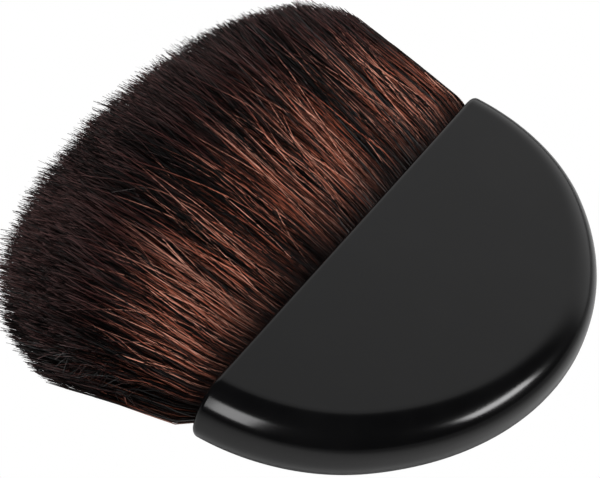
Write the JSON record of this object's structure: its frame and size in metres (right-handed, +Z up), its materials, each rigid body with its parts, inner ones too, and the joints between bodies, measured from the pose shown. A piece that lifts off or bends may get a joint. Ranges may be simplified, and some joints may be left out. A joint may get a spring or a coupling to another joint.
{
  "type": "powder brush",
  "caption": "Compact powder brush with a half-moon moulded handle and a wide flat fan of natural hair set along its straight side.",
  "frame": {"origin": "middle of the flat underside of the handle, which is the plane the brush lies on", "axes": "+X along the straight side of the handle, +Y towards the hair tips, +Z up through the thickness"},
  "size_m": [0.071, 0.062, 0.0172],
  "materials": {
    "handle_plastic": "gloss black, as moulded",
    "cast_resin": "dull, hair set in it",
    "natural_hair": "soft hair, chestnut at the roots and near black at the tips"
  },
  "bodies": {
    "root": {"handle": "handle_plastic", "root_block": "cast_resin", "bristles": "natural_hair"}
  },
  "joints": []
}
